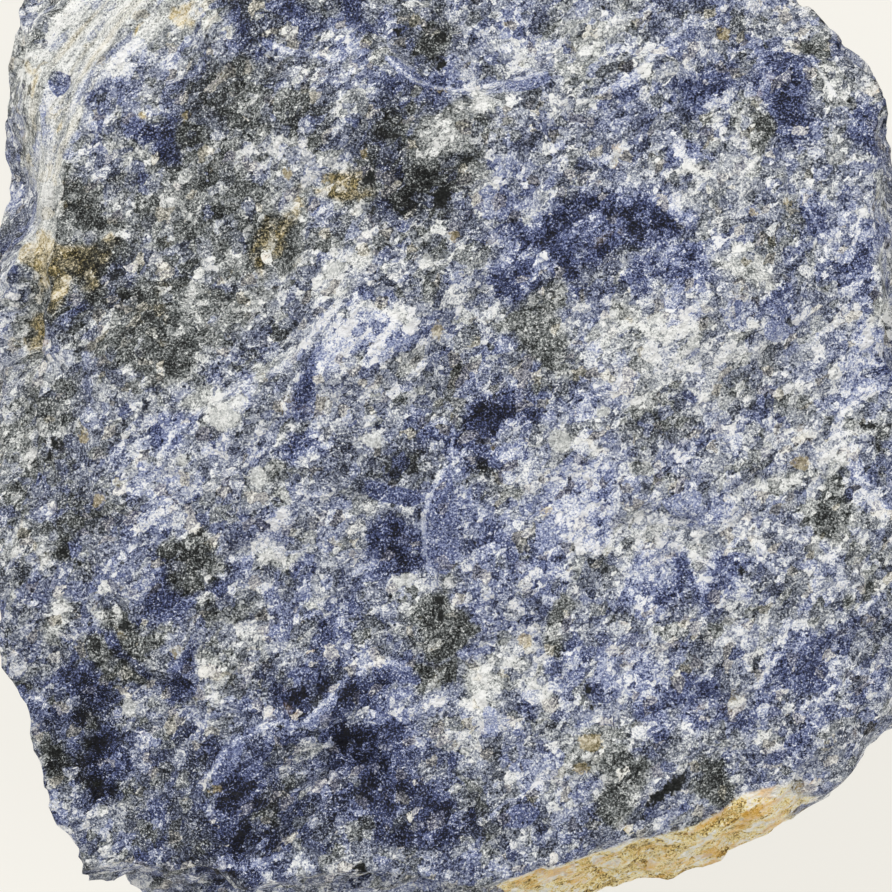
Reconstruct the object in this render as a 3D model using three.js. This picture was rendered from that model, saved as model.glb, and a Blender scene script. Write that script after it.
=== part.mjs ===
// A rough piece of sodalite rock, broken on every side, lying on its flattest fracture face.
// Millimetres, +Z up. The broad fracture face looks up, and the origin is under the middle of
// the stone, on the surface that it lies on. The stone is one solid.
import * as THREE from "three";
import { ImprovedNoise } from "three/addons/math/ImprovedNoise.js";
import { mergeVertices } from "three/addons/utils/BufferGeometryUtils.js";

// Driving dimensions. Plan positions are measured on the broad face, from its middle.
const FACE_HEIGHT = 60; // the broad upper face over the surface that the stone lies on
const CORE = new THREE.Vector3(0, 0, 29); // a point well inside, from which all the skin is seen
const REACH = 110; // further from the core than any of the skin
const EDGE_SHARPNESS = 1.6; // 1/mm: how sharply neighbouring fracture faces meet
const NOTCH_SHARPNESS = 2.5; // 1/mm: how sharply a notch's faces meet
const HALF_BOX = new THREE.Vector3(56, 61, 31); // half the block's rough size
const BALL_STRETCH = new THREE.Vector3(0.93, 0.9, 1.2); // gives larger sides of the box more points
const MESH_DETAIL = 21; // splits of each icosahedron edge: 20 * 22 * 22 = 9680 triangles
const HALVINGS = 26; // halvings of REACH that find the skin along a line from the core
const EVENING_ROUNDS = 16; // rounds of evening out the triangles
const CREASE_REACH = 1.7; // points nearer than this to a crease between faces move onto it
const CREASE_HOLD = 0.04; // how firmly a point stays where it is, against each flat patch's pull
const REST_SINK = 1.2; // the lowest lumps are worn flat to this height over the lowest one

// Fracture faces: a point on each, the way it faces in plan (degrees from +X, anticlockwise)
// and how far it looks up (90) or down (-90).
const FRACTURE_FACES = [
  { name: "broad face", at: [0, 0, FACE_HEIGHT + 2.0], azimuth: 250, elevation: 88 },
  { name: "upper left slope", at: [-35, 24, FACE_HEIGHT - 0.4], azimuth: 155, elevation: 80 },
  { name: "upper slope", at: [4, 50, FACE_HEIGHT - 0.6], azimuth: 84, elevation: 76 },
  { name: "upper right slope", at: [34, 36, FACE_HEIGHT - 0.4], azimuth: 40, elevation: 77 },
  { name: "lower right slope", at: [40, -16, FACE_HEIGHT - 0.4], azimuth: -18, elevation: 79 },
  { name: "lower left slope", at: [-34, -30, FACE_HEIGHT - 0.6], azimuth: 216, elevation: 78 },

  { name: "white bevel", at: [-44.4, 38.8, 57], azimuth: 147, elevation: 46 },
  { name: "left strip", at: [-53.8, 40, 42], azimuth: 174, elevation: 28 },
  { name: "left side", at: [-57.6, -4, 44], azimuth: 186, elevation: 14 },
  { name: "lower left side", at: [-47.6, -38.6, 48], azimuth: 198, elevation: 2 },
  { name: "lower side", at: [-20, -59.5, 40], azimuth: 267, elevation: 8 },
  { name: "rusty bevel", at: [23, -47.6, 56], azimuth: -70, elevation: 40 },
  { name: "lower right corner", at: [47.6, -35.6, 47], azimuth: -46, elevation: -3 },
  { name: "right bevel, lower", at: [58.6, -8, 46], azimuth: -10, elevation: 20 },
  { name: "right bevel, upper", at: [54.4, 26, 49], azimuth: 11, elevation: 26 },
  { name: "upper right side", at: [43.4, 54.2, 44], azimuth: 50, elevation: 4 },
  { name: "top side", at: [-5, 62.5, 42], azimuth: 93, elevation: 17 },
  { name: "upper left corner", at: [-50, 65.5, 40], azimuth: 128, elevation: 10 },

  { name: "left wall", at: [-58, 6, 30], azimuth: 181, elevation: -9 },
  { name: "lower left wall", at: [-46, -44, 28], azimuth: 216, elevation: -13 },
  { name: "lower wall", at: [-14, -59, 27], azimuth: 268, elevation: -7 },
  { name: "rusty wall", at: [25, -50.9, 46], azimuth: -67, elevation: -12 },
  { name: "right wall", at: [56, -2, 32], azimuth: -6, elevation: -22 },
  { name: "upper right wall", at: [45, 51, 28], azimuth: 44, elevation: -12 },
  { name: "top wall", at: [-2, 63, 26], azimuth: 86, elevation: -26 },
  { name: "upper left wall", at: [-46, 52, 26], azimuth: 138, elevation: -14 },

  { name: "underside, right", at: [46, 8, 9], azimuth: 12, elevation: -42 },
  { name: "underside, top", at: [10, 48, 9], azimuth: 76, elevation: -40 },
  { name: "underside, upper left", at: [-43, 38, 7], azimuth: 150, elevation: -56 },
  { name: "underside, left", at: [-53, -10, 8], azimuth: 196, elevation: -38 },
  { name: "underside, lower", at: [-14, -53, 6], azimuth: 254, elevation: -58 },
  { name: "underside, lower right", at: [36, -38, 9], azimuth: -46, elevation: -36 },
  { name: "resting face", at: [0, 0, 0], azimuth: 0, elevation: -90 },
];

// Pieces that broke out: everything beyond all of a notch's faces is missing.
const NOTCHES = [
  {
    name: "step along the lower edge",
    faces: [
      { at: [-28, -50.2, 52], azimuth: 274, elevation: 8 },
      { at: [-20, -54, 41], azimuth: 262, elevation: 50 },
      { at: [-4, -51.4, 50], azimuth: 248, elevation: 16 },
    ],
  },
  {
    name: "break in the left side",
    faces: [
      { at: [-52, 18, 26], azimuth: 204, elevation: 44 },
      { at: [-50, 12, 22], azimuth: 160, elevation: -12 },
      { at: [-54, 2, 30], azimuth: 196, elevation: -8 },
    ],
  },
  {
    name: "break in the right side",
    faces: [
      { at: [50, 20, 22], azimuth: 22, elevation: 38 },
      { at: [50, 4, 22], azimuth: -34, elevation: 4 },
      { at: [52, 12, 30], azimuth: 2, elevation: -14 },
    ],
  },
];

// Shell-shaped bites: a ball of this radius, its centre this far outside, takes material away.
const BITES = [
  { name: "top side", at: [18, 86, 40], radius: 27 },
  { name: "left side", at: [-84, 14, 24], radius: 30 },
  { name: "upper right", at: [74, 56, 22], radius: 34 },
  { name: "lower left", at: [-66, -58, 16], radius: 26 },
  { name: "lower wall", at: [14, -86, 22], radius: 31 },
  { name: "underside", at: [20, 16, -38], radius: 39.6 },
];

// Shallow hollows in the broad face, round in plan.
const HOLLOWS = [
  { name: "upper left", at: [-25, 23], radius: 21, depth: 2.4 },
  { name: "lower left", at: [-17, -40], radius: 13, depth: 2.6 },
  { name: "lower right", at: [29, -29], radius: 19, depth: 1.6 },
  { name: "upper middle", at: [7, 49], radius: 15, depth: 2.0 },
  { name: "centre", at: [8, 8], radius: 15, depth: 1.4 },
  { name: "right", at: [38, 24], radius: 12, depth: 1.2 },
];

// Ledges on the broad face: a line in plan, the rise on the right-hand side of the line as it is
// drawn, and how far behind the riser the rise dies away.
const LEDGES = [
  { name: "long diagonal", line: [[-36, -1], [-25, 5], [-17, 9], [-12, 17], [-4, 23]], rise: 2.2, fade: 15 },
  { name: "lower left ridge", line: [[-33, -45], [-27, -36], [-17, -32], [-11, -25]], rise: 1.7, fade: 5 },
  { name: "upper arc", line: [[-10, 48], [-5, 42], [1, 40], [9, 42], [19, 48]], rise: 1.8, fade: 11 },
  { name: "upper right streak", line: [[18, 39], [24, 45], [30, 51]], rise: 1.2, fade: 8 },
  { name: "shard", line: [[-1, -17], [-2.6, -9], [1, -1]], rise: 1.3, fade: 4 },
  { name: "right arc", line: [[21, -10.5], [29, -13], [35, -18]], rise: -0.6, fade: 7 },
  { name: "pale streak", line: [[14, 17], [27, 16], [42, 10]], rise: -0.7, fade: 9 },
  { name: "lower right", line: [[10, -34], [22, -31], [36, -22]], rise: 1.1, fade: 8 },
];
const RISER_WIDTH = 1.3; // half the width over which a ledge rises
const LEDGE_TAPER = 0.6; // how bluntly a ledge dies away at its two ends
const LEDGE_SAMPLES = 24; // straight pieces that a ledge's curve is measured by

// Roughness of the whole skin: lumps of several sizes, and flat chips at random slants.
const LUMPS = [
  { size: 27, height: 1.9 },
  { size: 12, height: 0.9 },
  { size: 6, height: 0.42 },
];
const LUMP_SHIFT = new THREE.Vector3(8.4, 7.1, -3.6); // picks the stretch of noise that the lumps follow
const CHIPS = [
  { size: 17, slant: 0.3, step: 1.3 },
  { size: 8, slant: 0.16, step: 0.5 },
];
const CHIP_SHARPNESS = 16; // how sharply one chip gives way to the next
const CALM_FACE = 0.3; // share of the chips' height that is left on the broad and resting faces
const GRAIN_DIRECTION = new THREE.Vector3(0.77, 0.64, 0); // the way the rock's fabric runs
const GRAIN_STRETCH = 0.75; // features are 1 / 0.75 times as long along the fabric

const LEVEL_SHARE = [0.55, 0.85]; // vertical share of the normal: steep below, level above

const noise = new ImprovedNoise();

function outwardNormal({ azimuth, elevation }) {
  const turn = THREE.MathUtils.degToRad(azimuth);
  const tilt = THREE.MathUtils.degToRad(elevation);
  return new THREE.Vector3(
    Math.cos(turn) * Math.cos(tilt),
    Math.sin(turn) * Math.cos(tilt),
    Math.sin(tilt),
  );
}

function asPlane(face) {
  const normal = outwardNormal(face);
  return new THREE.Plane(normal, -normal.dot(new THREE.Vector3(...face.at)));
}

const facePlanes = FRACTURE_FACES.map(asPlane);
const notchPlanes = NOTCHES.map(({ faces }) => faces.map(asPlane));
const biteSpheres = BITES.map(({ at, radius }) => new THREE.Sphere(new THREE.Vector3(...at), radius));

// The largest of the values, rounded off where two are nearly equal.
function softMax(values, sharpness) {
  const top = Math.max(...values);
  let sum = 0;
  for (const value of values) sum += Math.exp(sharpness * (value - top));
  return top + Math.log(sum) / sharpness;
}

// Where a point of a ball goes on a box of the stone's proportions, spread evenly over its sides.
function boxDirection(ballPoint) {
  const stretched = ballPoint.clone().multiply(BALL_STRETCH);
  const longest = Math.max(...stretched.toArray().map(Math.abs));
  const evened = stretched.toArray().map((value) => (Math.atan(value / longest) * 4) / Math.PI);
  return new THREE.Vector3(...evened).multiply(HALF_BOX).normalize();
}

// Below zero inside the broken block, above zero outside it.
function blockDistance(point) {
  const parts = [softMax(facePlanes.map((plane) => plane.distanceToPoint(point)), EDGE_SHARPNESS)];
  for (const planes of notchPlanes) {
    const inside = planes.map((plane) => -plane.distanceToPoint(point));
    parts.push(-softMax(inside, NOTCH_SHARPNESS));
  }
  for (const sphere of biteSpheres) parts.push(-sphere.distanceToPoint(point));
  return softMax(parts, NOTCH_SHARPNESS);
}

// The point of the skin that lies in this direction from the core.
function skinPoint(direction) {
  let near = 0;
  let far = REACH;
  const point = new THREE.Vector3();
  for (let halving = 0; halving < HALVINGS; halving++) {
    const middle = (near + far) / 2;
    point.copy(CORE).addScaledVector(direction, middle);
    if (blockDistance(point) < 0) near = middle;
    else far = middle;
  }
  return point;
}

// Outward normals of an indexed mesh's vertices.
function vertexNormals(points, triangles) {
  const normals = points.map(() => new THREE.Vector3());
  const side = new THREE.Vector3();
  const cross = new THREE.Vector3();
  for (const [a, b, c] of triangles) {
    side.subVectors(points[c], points[a]);
    cross.subVectors(points[b], points[a]).cross(side);
    for (const corner of [a, b, c]) normals[corner].add(cross);
  }
  return normals.map((normal) => normal.normalize());
}

// Each vertex's neighbours, as a list of sets of indices.
function neighbourSets(count, triangles) {
  const neighbours = Array.from({ length: count }, () => new Set());
  for (const [a, b, c] of triangles) {
    neighbours[a].add(b).add(c);
    neighbours[b].add(a).add(c);
    neighbours[c].add(a).add(b);
  }
  return neighbours;
}

// The skin's points, with the triangles evened out by moving each to the middle of its neighbours.
function evenSkin(directions, neighbours) {
  let points = directions.map(skinPoint);
  for (let round = 0; round < EVENING_ROUNDS; round++) {
    points = points.map((_, index) => {
      const middle = new THREE.Vector3();
      for (const neighbour of neighbours[index]) middle.add(points[neighbour]);
      middle.divideScalar(neighbours[index].size);
      return skinPoint(middle.sub(CORE).normalize());
    });
  }
  return points;
}

// The way the block's distance grows fastest at a point: the outward normal of its skin there.
function skinNormal(point) {
  const step = 0.05;
  const axes = ["x", "y", "z"].map((axis) => {
    const ahead = point.clone();
    const back = point.clone();
    ahead[axis] += step;
    back[axis] -= step;
    return blockDistance(ahead) - blockDistance(back);
  });
  return new THREE.Vector3(...axes).normalize();
}

// Moves each point that lies close to a crease onto it: the point nearest to the flat patches of
// its neighbours lies on the crease wherever those patches slant apart.
function creaseSkin(points, neighbours) {
  const normals = points.map(skinNormal);
  return points.map((point, index) => {
    const patches = [index, ...neighbours[index]];
    const pull = new THREE.Vector3();
    const spread = new Float64Array(9);
    for (const patch of patches) {
      const normal = normals[patch];
      const gap = normal.dot(points[patch].clone().sub(point));
      pull.addScaledVector(normal, gap);
      const [x, y, z] = normal.toArray();
      [x * x, x * y, x * z, y * x, y * y, y * z, z * x, z * y, z * z].forEach((value, k) => {
        spread[k] += value;
      });
    }
    for (const diagonal of [0, 4, 8]) spread[diagonal] += CREASE_HOLD * patches.length;
    const move = pull.applyMatrix3(new THREE.Matrix3(...spread).invert());
    return move.length() < CREASE_REACH ? point.clone().add(move) : point;
  });
}

// Position along and across the rock's fabric, so that features come out longer along it.
function fabricPoint(point) {
  const along = point.dot(GRAIN_DIRECTION);
  return point.clone().addScaledVector(GRAIN_DIRECTION, along * (GRAIN_STRETCH - 1));
}

function lumps(point) {
  let height = 0;
  for (const [layer, lump] of LUMPS.entries()) {
    const place = point.clone().divideScalar(lump.size).addScaledVector(LUMP_SHIFT, layer + 1);
    height += lump.height * noise.noise(...place.toArray());
  }
  return height;
}

// A repeatable number from 0 to 1 for each cell of a grid.
function cellNumber(i, j, k, salt) {
  const mixed = Math.sin(i * 127.1 + j * 311.7 + k * 74.7 + salt * 191.3) * 43758.5453;
  return mixed - Math.floor(mixed);
}

// Height of the chip that this point lies on: each chip is a flat patch with its own slant and
// step, and neighbouring chips blend over a narrow strip.
function chips(point, { size, slant, step }) {
  const scaled = point.clone().divideScalar(size);
  const [i0, j0, k0] = scaled.toArray().map(Math.floor);
  let total = 0;
  let height = 0;
  for (let i = i0 - 1; i <= i0 + 1; i++)
    for (let j = j0 - 1; j <= j0 + 1; j++)
      for (let k = k0 - 1; k <= k0 + 1; k++) {
        const seed = new THREE.Vector3(
          i + cellNumber(i, j, k, 1),
          j + cellNumber(i, j, k, 2),
          k + cellNumber(i, j, k, 3),
        );
        const offset = scaled.clone().sub(seed);
        const weight = Math.exp(-CHIP_SHARPNESS * offset.lengthSq());
        const tilt = new THREE.Vector3(
          cellNumber(i, j, k, 4) - 0.5,
          cellNumber(i, j, k, 5) - 0.5,
          cellNumber(i, j, k, 6) - 0.5,
        );
        const level = 2 * step * (cellNumber(i, j, k, 7) - 0.5);
        height += weight * (2 * slant * size * tilt.dot(offset) + level);
        total += weight;
      }
  return height / total;
}

function hollows(x, y) {
  let height = 0;
  for (const { at, radius, depth } of HOLLOWS) {
    const away = Math.hypot(x - at[0], y - at[1]) / radius;
    if (away < 1) height -= depth * (1 - away * away) ** 2;
  }
  return height;
}

const ledgeLines = LEDGES.map(({ line }) =>
  new THREE.CatmullRomCurve3(line.map(([x, y]) => new THREE.Vector3(x, y, 0))).getPoints(LEDGE_SAMPLES),
);

// Rise of one ledge at a point in plan: a riser along its line, and a slope that dies away behind it.
function ledgeRise(x, y, points, { rise, fade }) {
  const spot = new THREE.Vector3(x, y, 0);
  const segment = new THREE.Line3();
  const foot = new THREE.Vector3();
  let best = { distance: Infinity, side: 0, share: 0 };
  for (let i = 0; i + 1 < points.length; i++) {
    segment.set(points[i], points[i + 1]);
    const along = segment.closestPointToPointParameter(spot, true);
    segment.at(along, foot);
    const distance = foot.distanceTo(spot);
    if (distance >= best.distance) continue;
    const run = points[i + 1].clone().sub(points[i]);
    const off = spot.clone().sub(points[i]);
    const side = Math.sign(off.x * run.y - off.y * run.x);
    best = { distance, side, share: (i + along) / (points.length - 1) };
  }
  const across = best.distance * best.side;
  const riser = THREE.MathUtils.smoothstep(across, -RISER_WIDTH, RISER_WIDTH);
  const behind = across > 0 ? Math.exp(-((across / fade) ** 2)) : 1;
  const ends = Math.sin(Math.PI * THREE.MathUtils.clamp(best.share, 0, 1)) ** LEDGE_TAPER;
  return rise * riser * behind * ends;
}

function faceRelief(x, y) {
  return LEDGES.reduce((sum, ledge, i) => sum + ledgeRise(x, y, ledgeLines[i], ledge), hollows(x, y));
}

// The finished skin: lumps and chips everywhere, and ledges and hollows on the broad face.
function roughSkin(points, triangles) {
  const normals = vertexNormals(points, triangles);
  return points.map((point, index) => {
    const normal = normals[index];
    const place = fabricPoint(point);
    const level = THREE.MathUtils.smoothstep(Math.abs(normal.z), ...LEVEL_SHARE);
    const chipHeight = CHIPS.reduce((sum, layer) => sum + chips(place, layer), 0);
    const rough = lumps(place) + chipHeight * THREE.MathUtils.lerp(1, CALM_FACE, level);
    const raised = point.clone().addScaledVector(normal, rough);
    if (normal.z > 0) raised.z += level * faceRelief(point.x, point.y);
    return raised;
  });
}

// The stone's geometry in the broad face's plan, its lowest lumps flattened where it lies.
function stoneGeometry() {
  const ball = new THREE.IcosahedronGeometry(1, MESH_DETAIL);
  ball.deleteAttribute("normal");
  ball.deleteAttribute("uv");
  const geometry = mergeVertices(ball, 1e-5);
  const position = geometry.getAttribute("position");
  const directions = [];
  for (let i = 0; i < position.count; i++)
    directions.push(boxDirection(new THREE.Vector3().fromBufferAttribute(position, i)));
  const corners = geometry.index.array;
  const triangles = [];
  for (let i = 0; i < corners.length; i += 3) triangles.push([corners[i], corners[i + 1], corners[i + 2]]);

  const neighbours = neighbourSets(position.count, triangles);
  const block = creaseSkin(evenSkin(directions, neighbours), neighbours);
  const skin = roughSkin(block, triangles);
  const floor = Math.min(...skin.map((point) => point.z)) + REST_SINK;
  skin.forEach((point, i) => position.setXYZ(i, point.x, point.y, Math.max(point.z, floor)));
  geometry.computeVertexNormals();
  geometry.computeBoundingBox();
  return geometry;
}

const rock = new THREE.MeshStandardMaterial({ color: 0x7f88a8, roughness: 0.55, metalness: 0 });
const stone = new THREE.Mesh(stoneGeometry(), rock);
stone.name = "stone";
const { min, max } = stone.geometry.boundingBox;
stone.position.set(-(min.x + max.x) / 2, -(min.y + max.y) / 2, -min.z);

const sodalite = new THREE.Group();
sodalite.add(stone);

export default sodalite;
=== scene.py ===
# The looks of the sodalite stone: its broken skin is refined from the solid and gets chips,
# lumps, ledges and pits as real relief, and one rock material with its minerals and stains, and with painted
# shade, painted light and painted highlights.
import math
from collections import namedtuple

import bpy
import numpy as np
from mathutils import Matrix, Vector, noise


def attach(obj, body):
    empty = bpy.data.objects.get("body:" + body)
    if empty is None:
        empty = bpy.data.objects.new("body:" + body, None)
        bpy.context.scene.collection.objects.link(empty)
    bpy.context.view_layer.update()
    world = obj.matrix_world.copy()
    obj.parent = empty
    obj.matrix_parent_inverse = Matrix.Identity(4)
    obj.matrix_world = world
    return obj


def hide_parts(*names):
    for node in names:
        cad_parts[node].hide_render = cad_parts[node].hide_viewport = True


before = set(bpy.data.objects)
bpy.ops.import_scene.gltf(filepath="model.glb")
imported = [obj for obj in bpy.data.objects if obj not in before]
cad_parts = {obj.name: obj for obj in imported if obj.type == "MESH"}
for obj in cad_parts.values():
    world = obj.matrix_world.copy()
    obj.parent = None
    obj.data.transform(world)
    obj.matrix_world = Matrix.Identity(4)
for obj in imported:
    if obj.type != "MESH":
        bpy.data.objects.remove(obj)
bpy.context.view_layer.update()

# Driving dimensions, in millimetres. Plan places are measured from the middle of the broad face,
# x to the right and y up as the camera sees it.
MM = 0.001
FACE_MIDDLE = np.array([-1.5, -1.5])  # the broad face's middle in the frame
FACE_HEIGHT = 60.4  # the broad face over the floor
PICTURE_WIDTH = 103.5  # what the picture takes in at the height of the broad face
CAMERA_DISTANCE = 240.0  # from the broad face to the camera
SENSOR_WIDTH = 36.0

REFINE_ROUNDS = 2  # each makes four triangles of one: 9680 * 16 = 154880
CREASE_ANGLES = (14, 38)  # degrees: edges bent less are rounded off, edges bent more stay crisp
FABRIC_ANGLE = 39  # degrees from x: the way the rock's fabric runs
CHIP_STRETCH = 1.35  # chips and lumps are longer along the fabric by this factor
GRAIN_STRETCH = 1.25  # and grains by this one

# Ledges on the broad face, where the solid has them too, with a crisp step of their own. The rise
# is on the right-hand side of the line as it is drawn, and dies out over the distance named fade.
LEDGES = {
    "long diagonal": dict(
        line=[(-33.2, -1), (-26.8, 4.8), (-18.1, 9.4), (-11.7, 16.9), (-5.3, 21.3)], rise=0.8, fade=6,
    ),
    "lower left ridge": dict(
        line=[(-29.7, -41), (-25.3, -34.7), (-19.8, -32), (-14.8, -30.4), (-11, -26.6), (-5, -25.2)],
        rise=0.8, fade=3,
    ),
    "upper arc": dict(
        line=[(-7.7, 45.4), (-4.8, 42.7), (-1.9, 41.5), (2.2, 41.1), (8.6, 42.7), (12.6, 43.6)],
        rise=0.7, fade=5,
    ),
    "upper right streak": dict(line=[(17, 40.5), (20.5, 42), (24, 45), (28, 49.4)], rise=0.5, fade=4),
    "shard": dict(
        line=[(-1, -16), (-2.4, -12.5), (-2.6, -9.6), (-1.7, -5.3), (0.5, -1.6)], rise=0.8, fade=3,
    ),
    "right arc": dict(line=[(21, -10.5), (29, -13), (35, -18)], rise=-0.4, fade=4),
    "lower right": dict(line=[(10, -34), (22, -31), (36, -22)], rise=0.4, fade=4),
}
RISER_HALF_WIDTH = 0.45

# Relief of the whole skin: flat chips at random slants, and lumps.
CHIPS = [
    dict(size=9.0, slant=0.10, step=0.22),
    dict(size=4.2, slant=0.12, step=0.16),
]
CHIP_SHARPNESS = 34  # how sharply one chip gives way to the next
LUMPS = [
    dict(size=5.0, height=0.30),
    dict(size=2.2, height=0.20),
    dict(size=1.1, height=0.11),
]
NORMAL_EVENING = 6  # rounds of evening out the directions in which the skin is raised
SIDE_ROUGHNESS = 1.35  # the sides are rougher than the broad face by this factor
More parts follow.
